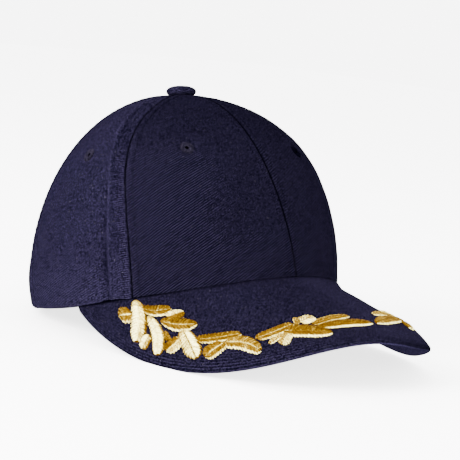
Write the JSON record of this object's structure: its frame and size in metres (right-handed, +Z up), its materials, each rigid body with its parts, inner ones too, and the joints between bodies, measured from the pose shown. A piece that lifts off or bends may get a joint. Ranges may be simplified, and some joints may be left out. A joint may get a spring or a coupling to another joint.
{
  "type": "peaked cap",
  "caption": "Navy six-panel peaked cap with a covered top button, stitched eyelets and raised gold leaf branches on a curved peak.",
  "frame": {"origin": "centre of the bounding box's base, on the surface the cap rests on", "axes": "+Z up, the peak points to -Y, the wearer's right is -X"},
  "size_m": [0.1896, 0.2734, 0.1487],
  "materials": {
    "navy_twill": "brushed cotton twill, matt",
    "navy_thread": "close stitched thread, slight sheen",
    "navy_under_cloth": "plain cotton twill, matt",
    "gold_thread": "satin-stitched metallic gold thread, bright"
  },
  "bodies": {
    "root": {"front_panel_right": "navy_twill", "side_panel_right": "navy_twill", "back_panel_right": "navy_twill", "front_panel_left": "navy_twill", "side_panel_left": "navy_twill", "back_panel_left": "navy_twill", "top_button": "navy_twill", "eyelet_front_right": "navy_thread", "eyelet_front_left": "navy_thread", "eyelet_side_right": "navy_thread", "eyelet_side_left": "navy_thread", "eyelet_back_right": "navy_thread", "eyelet_back_left": "navy_thread", "peak_upper": "navy_twill", "peak_under": "navy_under_cloth", "embroidery_right": "gold_thread", "embroidery_left": "gold_thread"}
  },
  "joints": []
}
